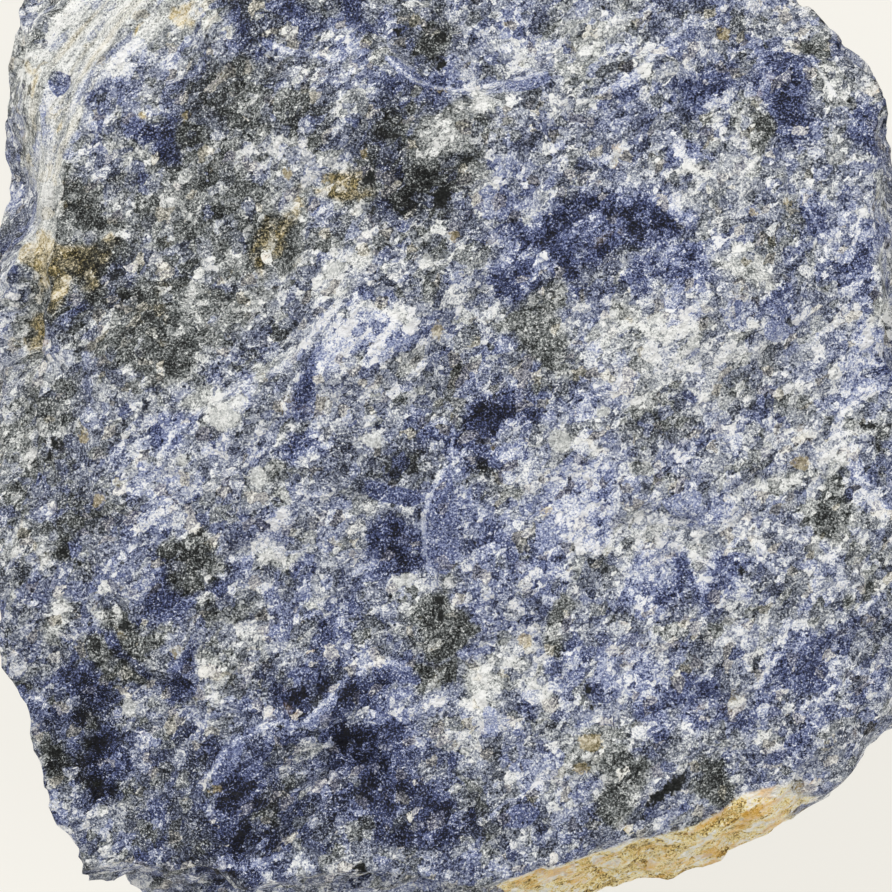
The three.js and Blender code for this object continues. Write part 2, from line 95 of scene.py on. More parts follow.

# Patches on the broad face: mineral patches, and the broad and soft shade and light, which are
# painted shade and painted light. x, y and radius of each in plan, with a second radius and a turn
# in degrees where a patch is long. tone makes the rock darker or lighter, blue makes it bluer or
# greyer, and warm stains it ochre.
PATCHES = {
    # Painted shade over broad stretches of the face.
    "painted broad shade": dict(
        tone=-0.17,
        blue=0.06,
        at=[(-38.5, 21, 7, 11), (40, 38.5, 8, 6), (-12, -38, 20, 13), (-17, 38, 6, 6),
            (-0.7, -0.5, 6, 4), (-42, -30, 13, 9, 70), (-23, -41, 18, 12, 15), (-38, 20, 15, 9, 10),
            (-30, 37, 13, 9, 40), (-6, 38, 12, 8, 80), (4, 1, 11, 6, 35), (17, 24, 13, 7, 10),
            (4, -43, 11, 6), (-14, -28, 12, 7), (-20, 48, 11, 4)],
    ),
    # Painted light over broad stretches of the face.
    "painted broad light": dict(
        tone=0.09,
        at=[(8.5, 46, 12, 5), (51, 22, 3, 16), (28, 8, 24, 13, 5), (18, -11, 20, 12),
            (-9, 15, 13, 8, 40), (4, 40, 9, 6), (47, 12, 9, 18), (-32, -4, 14, 7),
            (20, -34, 15, 8, 20), (34, 33, 12, 8, 90), (-19, -13, 6, 5), (-11, 37, 4, 5),
            (49, 6, 6, 8)],
    ),
    # Painted shade, weaker, over smaller stretches.
    "painted soft shade": dict(
        tone=-0.08,
        at=[(3.5, -2.8, 5, 4, 90), (-4.8, -2.2, 5, 4), (-6.5, -10.5, 6, 5), (-23, -47, 7, 5),
            (35.5, 34.5, 5, 4), (-30, 24, 9, 6), (-23, 11.5, 6, 6), (0.5, -12, 6, 6), (-46, -24, 8, 7),
            (-34.5, -35.5, 8, 7), (23, -36, 6, 5), (-29, -47, 13, 6)],
    ),
    # Painted light, weaker, over smaller stretches.
    "painted soft light": dict(
        tone=0.08,
        at=[(17, 46, 11, 6), (-17, 34, 10, 6), (-47, 2, 5, 8), (12, 11, 9, 6, 30), (30, -13, 12, 7),
            (45, -12, 9, 7), (-23, -24, 6, 6), (7, -24, 10, 7), (35.5, -24, 7, 6), (-11, -47, 5, 4)],
    ),
    "bluer": dict(
        blue=0.2,
        at=[(4, -9, 12, 9, 90), (12, -23, 9, 8), (-11, -35, 6, 6), (1, 0, 8, 6)],
    ),
    "greyer": dict(
        blue=-0.14,
        at=[(-49, 3, 9, 24), (-47, 24, 8, 8), (17, 46, 10, 6), (-2, 24, 12, 6), (-50, 45, 6, 8),
            (-17, -47, 12, 5), (0, 34, 6, 6)],
    ),
    "navy": dict(
        tone=-0.2,
        blue=0.42,
        at=[(-23.5, 47, 4.6, 2, 90), (-17, 49, 7, 1.6, -10), (-10.5, 49.5, 3, 1.8, 90),
            (-32.5, 36.5, 4.8, 3.2, -40), (-49, 36.5, 2.8, 1.2, 65), (3, 3, 7.2, 2.4, 28),
            (-17, 4.5, 4.2, 3, 90), (-8, -11.5, 4.8, 4, 80), (-13.5, -20.5, 4.6, 2, 60),
            (-11.5, -32.5, 7.2, 4, 110), (-23.5, -39.5, 7.2, 3.4, 70), (-21.5, -45.5, 5.6, 4),
            (-40.5, -36.5, 6, 4.8, 90), (-42.5, -27.5, 6.4, 2.8, -5), (-30.5, -28.5, 3.4, 2.8),
            (0.5, -43, 7.2, 4), (-7, -27.5, 4.2, 1.8), (-17, -30, 2.4, 1.4, 80), (7.4, 4, 7, 3.2, 22),
            (22, 24.5, 4, 3), (-10, -36.5, 3.6, 3), (-24, -45, 7, 4, 80), (-38.5, -23.5, 3, 2),
            (24.8, -17.6, 4.6, 0.8), (-22, -49.5, 4, 3), (-40, -41, 4.4, 3.4), (-27.5, -53.5, 3.6, 3),
            (-6, -41.5, 4, 3), (23.7, 21, 3, 2.4), (28, 34.5, 2.4, 2), (-17, 0.7, 2.4, 2.4)],
    ),
    "royal blue": dict(
        tone=-0.14,
        blue=0.5,
        at=[(11, 24, 7, 6), (20.5, 27, 9, 5, 5), (27, 20.5, 5, 3.4), (8.5, 20.5, 3.6, 3),
            (38, 17, 3, 2.4), (43, 25.5, 3.6, 3.2), (31, 42, 5.2, 3.4, 40), (40, 40, 4.4, 3.4),
            (48.5, 36.5, 4.8, 2.4, 95), (30, -17.4, 7, 2, -5), (47.5, 21, 3.4, 2.4, 40),
            (23, -29.5, 4.8, 4, 20), (41, -25, 6, 4.4, 80), (41, -34, 5.4, 3.4, 20), (29, -31.5, 4, 3),
            (5, -9.5, 4, 2.2, -20), (-32, -17, 5.4, 2.8), (34, -32, 4.6, 2.6, 10), (18, -8.5, 3, 2)],
    ),
    "pale blue": dict(
        tone=0.1,
        blue=0.4,
        at=[(11.5, -12.5, 4.8, 3.2, 60), (23, -13.5, 4.6, 2.8), (16, -6.5, 7, 4.2, 20),
            (-6, 13, 5.8, 3.2), (-12.5, 11, 5.8, 2, 30), (-31.5, 0.5, 2.4, 1.6),
            (48.5, 12.5, 7, 3.4, 90), (29.5, -7.5, 4.6, 3), (6.5, 29.5, 3.4, 2.4)],
    ),
    "cream": dict(
        tone=0.21,
        blue=-0.3,
        at=[(-13.5, 19, 4.4, 3.2, 50), (-8.5, 16, 4.6, 2.8), (-21, 8.5, 6, 1.3, 40),
            (-25.5, 3.5, 2.8, 2, 20), (20, 15.5, 4, 1.6, -5), (-50.5, 45, 2.4, 4.5),
            (34.5, 13, 3.8, 1.6, -8), (14.5, 0.5, 2.8, 2, 90), (3.5, 40, 3, 2.4), (-39, -19.5, 3, 2),
            (-18.5, -14, 2.4, 1.8), (45, -1.5, 4.8, 2, 20), (-17, -36, 1.6, 1.2),
            (27.5, 32, 2.6, 1, -35), (28.5, 13.5, 7, 2, -5), (-11, 20.5, 4.4, 2.6),
            (50.5, 15, 2.6, 5.6), (34, 22, 3, 2.4), (-45, -19.5, 3, 2.4), (0, 37.5, 3, 4),
            (28.5, -14, 3, 1.6), (39, -4, 2.4, 2), (3, -26, 2.4, 3), (23.5, 43.5, 2.4, 1.6, 40),
            (11.5, -29.5, 4.6, 2.8), (-27, -26, 3.4, 2.8), (5, -29.5, 3, 2)],
    ),
    "grey green": dict(
        tone=-0.15,
        blue=-0.6,
        at=[(-33, -52.5, 5, 2), (10.5, 14.5, 7.2, 4.2, -40), (-33, 12, 7.6, 4.6),
            (-0.5, -19, 4, 3.2, 30), (0, -26, 2.6, 1.8, 90), (-31, -12.5, 5.4, 2.4),
            (-38, -20.5, 4.2, 3), (47, -18, 2.6, 1.6), (31.5, -38.5, 2.6, 3.4), (20, -39, 4, 2.6, 30),
            (-40, 25.5, 4.8, 4.2), (-20, 25, 3.8, 3.2), (45, -7.5, 3.4, 3.4), (37, 36.5, 1.8),
            (42, 46.5, 3, 2.4), (18, -36.5, 4.6, 2.6), (13, -19, 3.4, 2.4), (-30.5, 10.5, 4.6, 3.4),
            (-32, -12, 3.4, 2.4), (-1.5, -23, 1.8, 3), (-41, -23.5, 2, 2.6), (20.5, -37.5, 4, 2.4)],
    ),
    "slate": dict(
        tone=-0.1,
        blue=-0.12,
        at=[(-3, -1.5, 4, 3.4), (22.5, 3, 8.6, 5.4), (36.5, 8.5, 7.2, 3.4), (-25, 39, 8.2, 4.6),
            (-24, 29.5, 7, 4.6), (-3, -22.5, 4.6, 2.8), (-17, 36.5, 4.6, 3.4), (-45, -6.5, 8.2, 7),
            (-47, 5.5, 7, 5.8), (-6, 38, 4.4, 4.4), (-39, 20, 5, 4), (6, -5, 3, 3), (-27, -20, 6, 4),
            (-40, 27, 5, 3)],
    ),
    "black schlieren": dict(
        tone=-0.22,
        blue=-0.25,
        at=[(3.8, -2.6, 3, 2.4, 90), (-25, -52.5, 3, 2), (-2, 46.5, 4.6, 3.4, 80),
            (-3.5, 31, 5.4, 3.4, 20), (-0.5, 29, 3.2, 2.4), (-41, -34, 3.4, 2.8, 90),
            (-43.5, -38, 5.6, 3.6, -40), (-40, -41.5, 4.4, 3, -20), (-42.5, -40, 3.6, 2.6, -30),
            (-27.5, -53.5, 3.4, 3), (-49.5, 38.5, 2.2, 3.4, -20), (-21, -42, 2.4, 6, -20),
            (-11, -34, 2.6, 4, 10), (-48.5, -2.5, 3.8, 1.6, 30), (-44.5, -12.5, 1.8, 1.4),
            (51, 1.5, 4.2, 1.4, 95)],
    ),
    "grey quarter": dict(
        tone=0.03,
        blue=-0.22,
        at=[(-29, 31, 24, 16, 40), (-33, 14, 14, 9), (-50, 46, 4, 10), (-46, 50, 5, 5)],
    ),
    "olive": dict(
        blue=-0.5,
        warm=0.8,
        at=[(-13, 30.5, 5, 2.6, 40), (-19.5, 25, 4, 2.4, 50), (-48.5, 13.5, 4, 3.2),
            (-15, 29.5, 6.5, 2, 42), (-50, 22, 3.4, 4), (-17, 27.5, 4, 2.4, 50)],
    ),
    "dark olive": dict(
        tone=-0.08,
        blue=-0.45,
        warm=0.35,
        at=[(-34, 16, 9, 4.4, 10), (-42.5, 22.5, 8, 5, 15)],
    ),
    "ochre": dict(
        tone=0.14,
        blue=-0.4,
        warm=1,
        at=[(-47, 22, 4.8, 3.4, 20), (-48, 24.5, 3, 2, 40), (-36.5, 49.5, 2.6, 1, 45),
            (-40, 24.5, 2, 1.2), (-31, 51.5, 2.4, 1, 45), (-35.5, 38.5, 1), (-49, 44, 2.4, 1, 80),
            (-46, 38, 1.4, 0.8, 60)],
    ),
    "brown": dict(
        tone=-0.2,
        blue=-0.4,
        warm=0.35,
        at=[(-40, 22.5, 6, 3.6, 8), (-46.5, 16.5, 4, 1.8, 10), (-43, 28.5, 3, 2.4),
            (-50, 38.5, 1.6, 4, -20)],
    ),
}

# Single grains, given like the patches. The black ones lie in pits.
GRAINS = {
    "black": [
        (-0.5, 28.5, 1.2, 1.4), (-8.7, 30.6, 0.9, 1.3), (-8.6, 27, 0.7), (-7.3, 25.2, 0.8, 0.5),
        (-5.1, 26.9, 0.9, 0.5), (-1.9, 29.7, 0.7), (2.4, 32.8, 0.7), (-0.7, 47.3, 1.1, 0.7),
        (-2.4, 48.3, 0.8, 0.6), (-0.6, 44.2, 0.8, 1), (-3.6, 45.4, 0.9, 0.6), (-5.6, 47.9, 0.7),
        (-5.9, 35.5, 0.7), (26.2, -39.3, 2.3, 1, 40), (24.3, -40.7, 1.5, 0.9, 30),
        (23.1, -42.8, 0.6, 0.8), (16.4, -28.3, 0.7, 1.1), (16.9, -30.2, 0.6), (-29.5, -24.8, 0.6),
        (-45.6, 0.4, 1.3, 0.7), (-47.7, -3.7, 1, 0.5, 20), (-48.3, -2, 1, 0.5, 10), (-46.2, -1.3, 0.7),
        (-44.5, -12.4, 1.2, 0.6, -20), (-42.7, -13.5, 0.6), (-49.4, -16.1, 0.8, 0.6),
        (-45.9, -36.1, 0.9), (-41.3, -39.9, 1.4, 0.7), (-42.2, -35.3, 0.6), (-37.2, -20.8, 1.6, 0.6),
        (-41.5, -20.4, 0.7), (-19.1, -32.4, 0.6), (-10, -49, 0.9), (-0.7, -17.9, 1, 0.6),
        (-0.5, -19.6, 0.6, 0.9), (42.7, 47, 0.7), (28.5, 51.2, 0.7), (18.4, 51.3, 0.6),
        (39.8, 42.5, 0.5), (50.9, -2.8, 0.6, 0.9), (49.2, 2.4, 0.9, 0.7), (33.9, -14.4, 0.6, 0.7),
        (19.5, 22.4, 0.5),
    ],
    "white": [
        (-4.8, -15.5, 1.9, 1), (-25.6, 3.2, 2, 1.6), (-37, -30.6, 1, 1.2), (-21.6, -3.4, 1.2, 1.5, 20),
        (13, 0.7, 1.4, 1.7), (-8.6, 0.7, 1.6, 1), (-23.7, 5.1, 1.4, 1, 30), (17.9, 3.9, 1),
        (-30.3, -1.6, 0.9), (28.3, 11.7, 1), (-2.2, 21.3, 0.9), (23.9, 14.4, 1.4, 0.9),
        (-13, 20.5, 1.6, 1, 40),
    ],
    "tan": [
        (-1, 13.2, 0.8, 1.2), (16.7, -34.1, 1.6, 1.2), (15.5, -37.1, 1.2, 0.8), (9.2, -22.5, 1),
        (41.1, -1.9, 1.4, 1), (-26.8, -39.9, 1, 0.6, 20), (-40.1, -6.3, 0.9), (-18.3, 31.4, 0.8),
        (-30.2, 38.2, 0.7), (32.7, 48.3, 1), (39.6, 28.5, 0.7), (35.5, 27.1, 0.7), (1, 24.1, 0.8),
        (-13.5, 30.9, 1, 0.7, 30), (-9.4, 33.5, 0.7), (-0.7, 40.9, 0.9, 0.5), (11.5, -7.5, 0.9, 0.7),
        (-42, 1, 0.9),
    ],
}

# Smooth blue crystals among the grains: the tone of each, and the corners of its outline.
CRYSTALS = [
    (0.47, [(0.5, -1.6), (-0.7, -3.7), (-1.7, -5.3), (-2.6, -9.6), (-2.2, -13.7), (-0.2, -15), (0.7, -14.2),
            (1.6, -12.3), (1.3, -7.7), (0.8, -4.5)]),
    (0.52, [(-7.4, 44.5), (-5.3, 42.4), (-2.4, 40.8), (-0.1, 40.8), (-1.9, 42), (-4.2, 43.4), (-5.9, 44.8)]),
    (0.5, [(6.5, 41.9), (8.6, 42.9), (12, 43.6), (12.3, 42.4), (10.3, 41.2), (8, 40.8)]),
    (0.6, [(3.7, 29.1), (5.3, 30.1), (6, 28.5), (5.7, 25.8), (4.2, 26)]),
    (0.48, [(6, 29), (7.9, 29.3), (7.6, 26.6), (6, 25.8)]),
    (0.5, [(-27, -37.4), (-25.3, -34.7), (-23.1, -34), (-23.9, -36.6), (-25.6, -38.9), (-27.3, -39.5)]),
    (0.6, [(-16.9, -32), (-14.8, -30), (-13.2, -28.3), (-12, -28.4), (-13.3, -31), (-15.5, -33)]),
    (0.46, [(6, -42.8), (8, -41.4), (10.3, -41.2), (11, -42.5), (9.5, -43.9), (7, -44)]),
    (0.62, [(24.6, -6.3), (28.3, -4.7), (29.9, -5.9), (28.3, -7.9), (26, -8.1)]),
    (0.42, [(-8.6, -25.2), (-5.1, -25), (-2.4, -26.2), (-3, -27.6), (-5.9, -27), (-8.4, -27)]),
    (0.62, [(10.4, -9), (12.3, -8.2), (13.2, -10.3), (12, -12.3), (10.2, -11.7)]),
    (0.58, [(-6.5, 13.3), (-4.4, 13), (-3.7, 11), (-5.8, 10.6)]),
    (0.6, [(36.6, 14.2), (38.7, 14.8), (40.6, 13.2), (38.7, 11.9), (36.7, 12.3)]),
    (0.64, [(4.1, -29.8), (5.8, -30.2), (6, -32.9), (4.5, -33.4)]),
    (0.36, [(-9.4, -3.7), (-7.1, -4.3), (-3.6, -5.1), (-1.9, -6), (-3.9, -7), (-7.1, -6.5), (-9.2, -5.5)]),
    (0.48, [(-47.6, 43.6), (-46.9, 45.2), (-44.6, 44.1), (-44.9, 42.7), (-46.2, 41.4), (-47.2, 42.4)]),
]

# Pale lines along ridges and cracks, partly pale veins and partly painted highlights on the lit rims of
# ridges: the half width of each, and the points along it.
VEINS_AND_RIDGE_HIGHLIGHTS = [
    (0.3, [(-7.7, 45.4), (-4.8, 42.7), (-1.9, 41.5), (2.2, 41.1), (5.1, 41.9), (8.6, 42.7), (12.6, 43.6)]),
    (0.4, [(-21.8, 47.1), (-18.7, 45.9), (-15.8, 45.2), (-12.3, 44.5)]),
    (0.45, [(28.2, 49.4), (23.9, 45.1), (20.4, 42.1), (16.9, 40.5)]),
    (0.3, [(42.5, 46.3), (44, 43.3), (45.9, 40.5), (47.8, 37.8)]),
    (0.25, [(41.4, 30.3), (41.8, 28), (43.6, 24.7), (44.5, 20.8)]),
    (0.3, [(48.7, 28), (48, 25.1), (47.3, 22.7)]),
    (0.45, [(-29.7, -41.1), (-27, -37.4), (-25.3, -34.7), (-22.7, -33.2), (-19.8, -32), (-16.9, -32),
            (-14.8, -30.4), (-13.2, -28.3), (-11.1, -26.6), (-8.6, -25.4), (-5.1, -25.2), (-2.6, -26.2)]),
    (0.4, [(36.8, -20), (38, -23.1), (37.4, -25.8), (35.3, -28.5)]),
    (0.25, [(4.9, -43.2), (6.8, -41.1), (8.8, -40.5), (11.5, -38.2)]),
    (0.5, [(46.9, 5.1), (45.5, 2.4), (44.8, 0.7)]),
    (0.9, [(46.6, 0.7), (48.3, -3.4), (49.9, -6.3), (52.1, -9.2)]),
    (0.5, [(-33.2, -1), (-30.9, 1.9), (-26.8, 4.8), (-22.7, 7.7), (-18.1, 9.4), (-15.2, 12.9),
           (-11.7, 16.9)]),
    (0.4, [(0.5, -1.6), (-1.7, -5.3), (-2.6, -9.6), (-2.2, -13.7), (-1, -15.2)]),
    (0.25, [(1, 3.5), (0.7, 0.5), (0.5, -1.6)]),
    (0.35, [(34.5, -16.5), (31, -14), (27.5, -12), (24, -10.5)]),
    (0.5, [(-43.3, -49.9), (-36, -50), (-28.8, -49.7), (-23, -48.6), (-17, -47.3)]),
]
PALE_LINE_REACH = 1.6  # a vein or painted ridge highlight is told apart from its surroundings up to this far from its middle
PATCH_RAGGEDNESS = [(8.0, 3.6), (3.0, 3.0)]  # size of the wiggles in a patch's outline, and their reach
TONE_STRENGTH = 1.35  # every patch's tone is multiplied by this
BLUE_STRENGTH = 1.7  # and its blue by this
EDGE_SOFTNESS = 0.9  # a patch fades out over this share of its radius
GRAIN_DEPTH = 0.5  # how deep the pit of a black grain is

# Places of the outline that are pushed in or out to follow the photo: x and y in plan, reach, and how
# far the skin moves in x and y.
OUTLINE_PUSHES = [
    (48.6, 50.4, 2.6, -1.3, -1.9), (51.9, 48.9, 2.1, -1.9, -1.6), (51.6, 54, 3.2, -2.2, -1.8),
    (51, 41.5, 3.4, 1.8, 0), (52.5, 41.8, 2.6, 0.9, 0.2), (56.5, 41.5, 3, 0.7, 0),
    (51, -34.7, 3, -0.8, 0.5), (42.5, -41.6, 2, -0.8, 0.5), (36.5, -50, 5, 0.3, -1.1),
    (27, -54, 6, 0, -1.4), (-51, -31.5, 3.6, 4.4, 0), (-49.5, -37, 4, 1.2, 0.4),
    (-46, -41, 2.5, -0.8, 0), (-51.8, -25.7, 2.6, -1.5, 0), (-48.5, 53, 4, -2.4, 0.5),
    (-55.5, 50.5, 4.5, 2, 0), (-55.5, 46, 4.5, 1.1, 0), (-55.5, 40.5, 4, -0.4, 0),
    (-52, 36, 3, -0.6, 0), (-55, 31, 4.5, 1.2, 0), (-52.5, 27, 3, 1.2, 0), (-56, -30, 2.2, -0.8, 0),
    (-52.5, -39, 4.5, 1.4, 0), (-50, -46, 3.5, 1, 0),
]

# The white bevel along the upper left edge, and the line beyond which the rock is stained by rust.
WHITE_BAND = dict(
    line=[(-27, 65), (-33, 58), (-37.8, 53), (-43.3, 47), (-46, 41.3), (-47.8, 35.4), (-49.6, 29.5),
          (-51.2, 25.8), (-54, 22.5)],
    half_widths=[8, 10.5, 10, 7.4, 5, 4.8, 5.2, 5, 3.8],  # from the line's start to its end
    length=57,  # of the line, about
)
RUST_LINE = [(-8, -56), (6, -51), (16, -48), (26, -45.5), (31, -43.5), (36, -40.5), (50, -37)]
RUST_FACING = np.array([0.35, -0.94, 0.0])  # the way that the stained face looks
SEEN_HEIGHTS = (34, 46)  # what the photo shows fades in upwards between these heights

# What the rock's texture is made of, by size in millimetres.
CRYSTAL_SIZE = 2.4
GRAIN_SIZE = 1.15
CRUMB_SIZE = 0.55
FLECK_SIZE = 0.17
DUST_SIZE = 0.26

FLOOR_HALF_WIDTH = 1500
FLOOR_COLOUR = (120, 119, 116)
FLOOR_GLOW_COLOUR = (238, 235, 227)
FLOOR_GLOW = 0.85
SKY_STRENGTH = 0.5

# Soft round lamps: place and width in millimetres, power in watts and colour.
LAMPS = {
    "key": dict(place=(-330, 380, 620), width=300, power=2.9, colour=(1.0, 0.99, 0.975)),
    "fill": dict(place=(460, -160, 520), width=400, power=1.0, colour=(1.0, 0.99, 0.98)),
}


def smoothstep(value, low, high):
    share = np.clip((value - low) / (high - low), 0, 1)
    return share * share * (3 - 2 * share)


def unit(vectors):
    return vectors / np.linalg.norm(vectors, axis=-1, keepdims=True)


def solid_mesh(node):
    """The node's points in millimetres, those that coincide merged, and its triangles."""
    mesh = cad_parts[node].data
    points = np.array([vertex.co for vertex in mesh.vertices]) / MM
    mesh.calc_loop_triangles()
    triangles = np.array([triangle.vertices for triangle in mesh.loop_triangles])
    _, first, same = np.unique(np.round(points, 4), axis=0, return_index=True, return_inverse=True)
    return points[first], same.reshape(-1)[triangles]


def face_normals(points, triangles):
    a, b, c = (points[triangles[:, k]] for k in range(3))
    return np.cross(b - a, c - a)


def point_normals(points, triangles):
    normals = np.zeros_like(points)
    areas = face_normals(points, triangles)
    for k in range(3):
        np.add.at(normals, triangles[:, k], areas)
    return unit(normals)


def refine(points, triangles):
    """One round of Loop subdivision, in which edges bent sharply stay crisp."""
    count = len(points)
    start = triangles.ravel()
    stop = triangles[:, [1, 2, 0]].ravel()
    across = triangles[:, [2, 0, 1]].ravel()
    _, edge_of = np.unique(np.minimum(start, stop) * count + np.maximum(start, stop), return_inverse=True)
    edge_of = edge_of.reshape(-1)
    halves = np.argsort(edge_of, kind="stable").reshape(-1, 2)
    ends = np.stack([start[halves[:, 0]], stop[halves[:, 0]]], axis=1)
    normals = unit(face_normals(points, triangles))
    bend = (normals[halves[:, 0] // 3] * normals[halves[:, 1] // 3]).sum(axis=1)
    crisp = smoothstep(np.degrees(np.arccos(np.clip(bend, -1, 1))), *CREASE_ANGLES)

    straight = points[ends].mean(axis=1)
    rounded = 0.75 * straight + 0.25 * points[across[halves]].mean(axis=1)
    middles = rounded + (straight - rounded) * crisp[:, None]

    valence = np.zeros(count)
    around = np.zeros_like(points)
    held = np.zeros(count)
    for near, far in ((0, 1), (1, 0)):
        np.add.at(valence, ends[:, near], 1)
        np.add.at(around, ends[:, near], points[ends[:, far]])
        np.add.at(held, ends[:, near], crisp / 2)
    pull = np.where(valence > 3, 3 / 8, 9 / 16)[:, None]
    softened = points + (around / valence[:, None] - points) * pull
    corners = softened + (points - softened) * np.clip(held, 0, 1)[:, None]

    ab, bc, ca = (edge_of.reshape(-1, 3) + count).T
    a, b, c = triangles.T
    quarters = [(a, ab, ca), (b, bc, ab), (c, ca, bc), (ab, bc, ca)]
    return np.vstack([corners, middles]), np.vstack([np.stack(q, axis=1) for q in quarters])


def softened(values, triangles, rounds):
    """The values at the points, each evened out with those of its neighbours."""
    pairs = np.unique(np.sort(triangles[:, [0, 1, 1, 2, 2, 0]].reshape(-1, 2), axis=1), axis=0)
    near, far = np.vstack([pairs, pairs[:, ::-1]]).T
    valence = np.bincount(near, minlength=len(values))[:, None]
    for _ in range(rounds):
        sums = [np.bincount(near, weights=column[far], minlength=len(values)) for column in values.T]
        values = (values + np.stack(sums, axis=1) / valence) / 2
    return values


def along_fabric(points, stretch):
    """The points with the fabric's direction squeezed, so that features come out longer along it."""
    turn = math.radians(FABRIC_ANGLE)
    fabric = np.array([math.cos(turn), math.sin(turn), 0])
    return points + np.outer(points @ fabric, fabric) * (1 / stretch - 1)


def lumps(points, size):
    return np.array([noise.noise(Vector(spot)) for spot in points / size + 31.7])


def cell_number(cell, salt):
    """A repeatable number from 0 to 1 for each cell of a grid."""
    mixed = np.sin(cell @ np.array([127.1, 311.7, 74.7]) + salt * 191.3) * 43758.5453
    return mixed - np.floor(mixed)


def chips(points, size, slant, step):
    """Height of the flat chip that each point lies on. Neighbouring chips blend over a narrow strip."""
    scaled = points / size
    corner = np.floor(scaled)
    total = np.zeros(len(points))
    height = np.zeros(len(points))
    for shift in np.ndindex(3, 3, 3):
        cell = corner + shift - 1.0
        seed = cell + np.stack([cell_number(cell, salt) for salt in (1, 2, 3)], axis=1)
        tilt = np.stack([cell_number(cell, salt) for salt in (4, 5, 6)], axis=1) - 0.5
        level = 2 * step * (cell_number(cell, 7) - 0.5)
        offset = scaled - seed
        weight = np.exp(-CHIP_SHARPNESS * (offset * offset).sum(axis=1))
        height += weight * (2 * slant * size * (tilt * offset).sum(axis=1) + level)
        total += weight
    return height / total


def smooth_line(corners, steps=12):
    """Points of a Catmull-Rom curve through these plan points."""
    corners = np.array(corners, float)
    ends = np.vstack([2 * corners[0] - corners[1], corners, 2 * corners[-1] - corners[-2]])
    share = np.linspace(0, 1, steps, endpoint=False)[:, None]
    pieces = []
    for a, b, c, d in zip(ends, ends[1:], ends[2:], ends[3:]):
        pieces.append(
            0.5 * (2 * b + (c - a) * share + (2 * a - 5 * b + 4 * c - d) * share**2
                   + (3 * b - a - 3 * c + d) * share**3)
        )
    return np.vstack([*pieces, corners[-1:]])


def beside_line(plan, line):
    """Distance to the line, which is above zero on its right-hand side, and the share along it."""
    best = np.full(len(plan), np.inf)
    side = np.zeros(len(plan))
    share = np.zeros(len(plan))
    for index, (a, b) in enumerate(zip(line, line[1:])):
        run = b - a
        off = plan - a
        part = np.clip(off @ run / (run @ run), 0, 1)
        distance = np.linalg.norm(off - part[:, None] * run, axis=1)
        nearer = distance < best
        best = np.where(nearer, distance, best)
        side = np.where(nearer, np.sign(off[:, 0] * run[1] - off[:, 1] * run[0]), side)
        share = np.where(nearer, (index + part) / (len(line) - 1), share)
    return best * side, share


def rough_stone(points, triangles):
    normals = unit(softened(point_normals(points, triangles), triangles, NORMAL_EVENING))
    upward = smoothstep(normals[:, 2], 0.55, 0.85)
    place = along_fabric(points, CHIP_STRETCH)
    relief = sum(chips(place, **layer) for layer in CHIPS)
    relief += sum(layer["height"] * lumps(place, layer["size"]) for layer in LUMPS)
    relief *= SIDE_ROUGHNESS + (1 - SIDE_ROUGHNESS) * upward
    plan = points[:, :2] - FACE_MIDDLE
    for grain in GRAINS["black"]:
        relief -= GRAIN_DEPTH * smoothstep(patch_share(plan, *grain), 0, 1) * upward
    for ledge in LEDGES.values():
        across, share = beside_line(plan, smooth_line(ledge["line"]))
        riser = smoothstep(across, -RISER_HALF_WIDTH, RISER_HALF_WIDTH)
        behind = np.where(across > 0, np.exp(-((across / ledge["fade"]) ** 2)), 1)
        ends = np.sin(np.pi * share) ** 0.5
        relief += ledge["rise"] * riser * behind * ends * upward
    moved = points + normals * relief[:, None]
    for x, y, reach, *push in OUTLINE_PUSHES:
        share = np.exp(-(((plan - (x, y)) / reach) ** 2).sum(axis=1))
        moved[:, :2] += share[:, None] * push
    moved[:, 2] = np.maximum(moved[:, 2], 0)
    return moved


def add_mesh(name, points, triangles):
    mesh = bpy.data.meshes.new(name)
    mesh.vertices.add(len(points))
    mesh.vertices.foreach_set("co", (points * MM).astype(np.float32).ravel())
    mesh.loops.add(triangles.size)
    mesh.loops.foreach_set("vertex_index", triangles.astype(np.int32).ravel())
    mesh.polygons.add(len(triangles))
    mesh.polygons.foreach_set("loop_start", np.arange(0, triangles.size, 3, dtype=np.int32))
    mesh.update(calc_edges=True)
    mesh.validate()
    mesh.shade_smooth()
    thing = bpy.data.objects.new(name, mesh)
    bpy.context.scene.collection.objects.link(thing)
    return thing


def set_field(thing, name, values):
    thing.data.attributes.new(name, "FLOAT", "POINT").data.foreach_set("value", values.astype(np.float32))


def patch_share(plan, x, y, radius, across=None, turn=0):
    """1 in the middle of a round or long patch, 0 on its edge and below zero outside."""
    angle = math.radians(turn)
    off = plan - (x, y)
    along = off @ (math.cos(angle), math.sin(angle)) / radius
    aside = off @ (-math.sin(angle), math.cos(angle)) / (across or radius)
    return 1 - np.hypot(along, aside)


